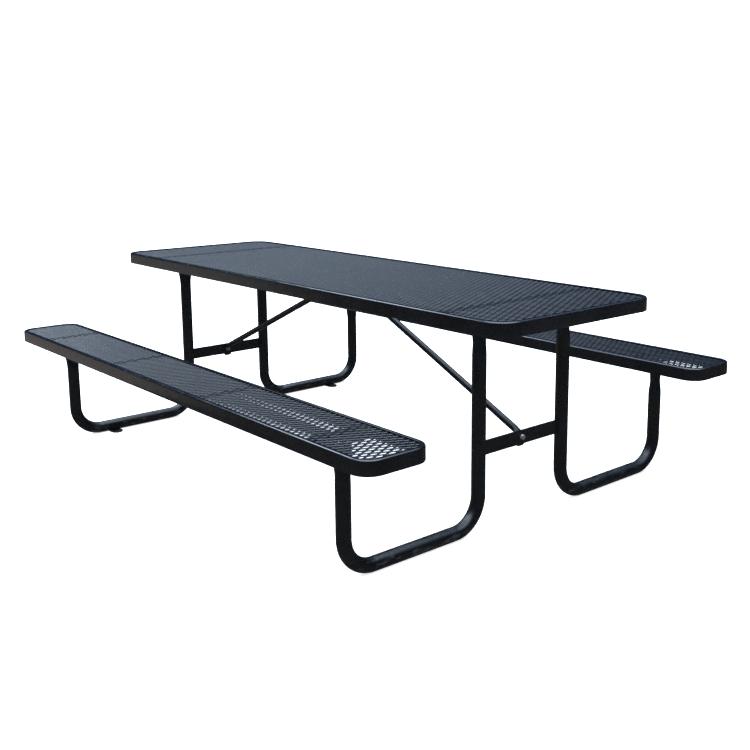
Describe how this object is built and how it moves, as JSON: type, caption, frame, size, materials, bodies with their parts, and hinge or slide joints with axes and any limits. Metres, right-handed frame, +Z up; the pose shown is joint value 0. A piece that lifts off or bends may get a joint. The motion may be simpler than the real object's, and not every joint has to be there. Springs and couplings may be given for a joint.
{
  "type": "picnic table",
  "caption": "Rectangular outdoor picnic table with an open-mesh top and two attached bench seats on bent tube legs, diagonal braces and floor anchor tabs.",
  "frame": {"origin": "on the floor, below the middle of the table top", "axes": "+X along the table, +Y across it towards the far seat, +Z up"},
  "size_m": [2.438, 1.782, 0.762],
  "materials": {
    "coated_rim": "semi-gloss black plastic coating over formed steel",
    "coated_sheet": "semi-gloss black plastic coating over expanded steel sheet",
    "frame_powder": "glossy black powder coat over steel tube and bar",
    "support_bar": "semi-gloss black coating over steel bar",
    "fastener": "bright plated steel"
  },
  "bodies": {
    "root": {"top_rim": "coated_rim", "top_mesh": "coated_sheet", "top_support_left": "support_bar", "top_support_center": "support_bar", "top_support_right": "support_bar", "top_stringer_near_left": "support_bar", "top_stringer_near_right": "support_bar", "top_stringer_far_left": "support_bar", "top_stringer_far_right": "support_bar", "near_seat_rim": "coated_rim", "near_seat_mesh": "coated_sheet", "near_seat_support_left": "support_bar", "near_seat_support_right": "support_bar", "near_seat_rib_left": "support_bar", "near_seat_rib_right": "support_bar", "near_seat_stringer": "support_bar", "far_seat_rim": "coated_rim", "far_seat_mesh": "coated_sheet", "far_seat_support_left": "support_bar", "far_seat_support_right": "support_bar", "far_seat_rib_left": "support_bar", "far_seat_rib_right": "support_bar", "far_seat_stringer": "support_bar", "leg_near_left": "frame_powder", "leg_near_right": "frame_powder", "leg_far_left": "frame_powder", "leg_far_right": "frame_powder", "crossbar_left": "frame_powder", "crossbar_right": "frame_powder", "brace_left": "frame_powder", "brace_right": "frame_powder", "foot_tab_near_left": "frame_powder", "foot_tab_near_right": "frame_powder", "foot_tab_far_left": "frame_powder", "foot_tab_far_right": "frame_powder", "top_leg_bolts": "fastener", "top_leg_nuts": "fastener", "top_leg_washers": "fastener", "seat_leg_bolts": "fastener", "seat_leg_nuts": "fastener", "seat_leg_washers": "fastener", "brace_foot_bolts": "fastener", "brace_foot_nuts": "fastener", "brace_foot_washers": "fastener", "brace_head_bolt": "fastener", "brace_head_nut": "fastener", "brace_head_washers": "fastener"}
  },
  "joints": []
}
